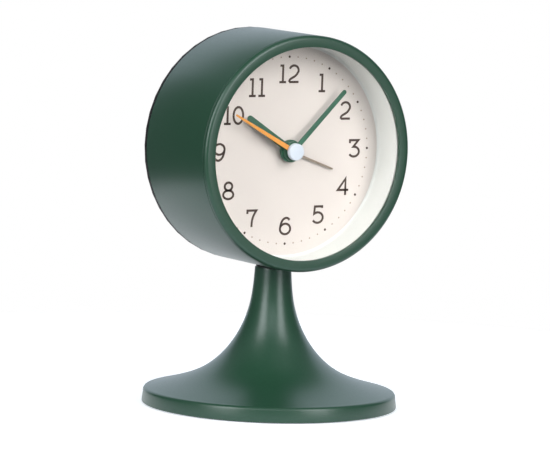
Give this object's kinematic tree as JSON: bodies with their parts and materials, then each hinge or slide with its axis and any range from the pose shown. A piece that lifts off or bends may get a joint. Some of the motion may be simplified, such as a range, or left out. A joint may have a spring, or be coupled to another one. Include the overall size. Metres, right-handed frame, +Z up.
{
  "type": "desk alarm clock",
  "caption": "Round analogue alarm clock: a short drum with a glazed dial on a trumpet-shaped pedestal, quartz movement, setting knobs and battery at the back.",
  "frame": {"origin": "middle of the pad under the foot, on the surface that the clock stands on", "axes": "+Z up; the dial faces -Y; +X is three o'clock's side"},
  "size_m": [0.1088, 0.1088, 0.16],
  "materials": {
    "green_paint": "satin powder coat",
    "hand_paint": "satin",
    "orange_paint": "satin",
    "dial_paint": "matt print",
    "white_plastic": "gloss",
    "black_plastic": "fine texture",
    "clear_lens": "clear, polished",
    "natural_nylon": "moulded",
    "steel": "zinc plated",
    "brass": "turned",
    "copper_wire": "enamelled winding",
    "satin_metal": "satin",
    "magnet": "ground",
    "circuit_board": "solder mask",
    "rubber": "matt",
    "red_wire": "smooth"
  },
  "bodies": {
    "case": {"pedestal": "green_paint", "saddle_gasket": "rubber", "base_pad": "rubber", "ballast_plate": "steel", "tie_washer": "steel", "tie_bolt": "steel", "tie_nut": "steel", "case_shell": "green_paint", "bezel": "green_paint", "lens": "clear_lens", "reflector_ring": "white_plastic", "dial": "dial_paint", "dial_carrier": "white_plastic", "movement_front_plate": "black_plastic", "movement_middle_plate": "natural_nylon", "movement_housing": "black_plastic", "movement_screw_1": "steel", "movement_screw_2": "steel", "stator": "steel", "coil_core": "steel", "coil": "copper_wire", "circuit_board": "circuit_board", "quartz_crystal": "steel", "back_cover": "black_plastic", "back_screw_1": "steel", "back_screw_2": "steel", "back_screw_3": "steel", "button_cage": "black_plastic", "snooze_spring": "steel", "battery_box": "black_plastic", "battery": "steel", "positive_contact": "steel", "negative_spring": "steel", "battery_lead_red": "red_wire", "battery_lead_black": "rubber", "buzzer": "black_plastic"},
    "second_group": {"second_wheel": "natural_nylon", "second_hand": "orange_paint", "second_cap": "white_plastic"},
    "transfer": {"transfer_wheel": "natural_nylon"},
    "stepping_rotor": {"rotor": "magnet"},
    "third": {"third_wheel": "natural_nylon"},
    "centre": {"centre_wheel": "natural_nylon"},
    "minute_group": {"cannon_pinion": "brass", "minute_hand": "hand_paint"},
    "motion_wheel": {"minute_wheel": "natural_nylon"},
    "hour_group": {"hour_wheel": "natural_nylon", "hour_hand": "hand_paint"},
    "time_setting": {"time_shaft": "natural_nylon", "time_knob": "black_plastic"},
    "alarm_group": {"alarm_wheel": "natural_nylon", "alarm_hand": "satin_metal"},
    "alarm_setting": {"alarm_shaft": "natural_nylon", "alarm_knob": "black_plastic"},
    "switch": {"alarm_switch": "black_plastic"},
    "button": {"snooze_button": "black_plastic"},
    "door": {"battery_door": "black_plastic"}
  },
  "joints": [
    {"name": "second_hand_turn", "type": "hinge", "parent": "case", "child": "second_group", "pos_m": [0, 0, 0.11], "axis": [0, 1, 0], "continuous": true},
    {"name": "transfer_wheel_turn", "type": "hinge", "parent": "case", "child": "transfer", "pos_m": [0.00911, 0, 0.10089], "axis": [0, 1, 0], "continuous": true},
    {"name": "rotor_turn", "type": "hinge", "parent": "case", "child": "stepping_rotor", "pos_m": [0.01751, 0, 0.10089], "axis": [0, 1, 0], "continuous": true},
    {"name": "third_wheel_turn", "type": "hinge", "parent": "case", "child": "third", "pos_m": [-0.00916, 0, 0.10084], "axis": [0, 1, 0], "continuous": true},
    {"name": "centre_wheel_turn", "type": "hinge", "parent": "case", "child": "centre", "pos_m": [0, 0, 0.11], "axis": [0, 1, 0], "continuous": true},
    {"name": "minute_hand_turn", "type": "hinge", "parent": "case", "child": "minute_group", "pos_m": [0, 0, 0.11], "axis": [0, 1, 0], "continuous": true},
    {"name": "minute_wheel_turn", "type": "hinge", "parent": "case", "child": "motion_wheel", "pos_m": [0.0096, 0, 0.11012], "axis": [0, 1, 0], "continuous": true},
    {"name": "hour_hand_turn", "type": "hinge", "parent": "case", "child": "hour_group", "pos_m": [0, 0, 0.11], "axis": [0, 1, 0], "continuous": true},
    {"name": "time_knob_turn", "type": "hinge", "parent": "case", "child": "time_setting", "pos_m": [0.00972, 0, 0.11972], "axis": [0, 1, 0], "continuous": true},
    {"name": "alarm_hand_turn", "type": "hinge", "parent": "case", "child": "alarm_group", "pos_m": [0, 0, 0.11], "axis": [0, 1, 0], "continuous": true},
    {"name": "alarm_knob_turn", "type": "hinge", "parent": "case", "child": "alarm_setting", "pos_m": [-0.00972, 0, 0.11972], "axis": [0, 1, 0], "continuous": true},
    {"name": "alarm_switch_slide", "type": "slide", "parent": "case", "child": "switch", "axis": [1, 0, 0], "range_m": [0, 0.004]},
    {"name": "snooze_button_press", "type": "slide", "parent": "case", "child": "button", "axis": [0, -1, 0], "range_m": [0, 0.002], "stiffness_N_per_m": 300, "springref_m": -0.001, "deforming": ["snooze_spring"]},
    {"name": "battery_door_off", "type": "slide", "parent": "case", "child": "door", "axis": [0, 1, 0], "range_m": [0, 0.025]}
  ],
  "couplings": [
    {"joint": "transfer_wheel_turn", "follows": "second_hand_turn", "ratio": -6},
    {"joint": "rotor_turn", "follows": "second_hand_turn", "ratio": 30},
    {"joint": "third_wheel_turn", "follows": "second_hand_turn", "ratio": -0.13333},
    {"joint": "centre_wheel_turn", "follows": "second_hand_turn", "ratio": 0.016667},
    {"joint": "minute_wheel_turn", "follows": "minute_hand_turn", "ratio": -0.33333},
    {"joint": "hour_hand_turn", "follows": "minute_hand_turn", "ratio": 0.083333},
    {"joint": "time_knob_turn", "follows": "minute_hand_turn", "ratio": 1},
    {"joint": "alarm_knob_turn", "follows": "alarm_hand_turn", "ratio": -4}
  ]
}
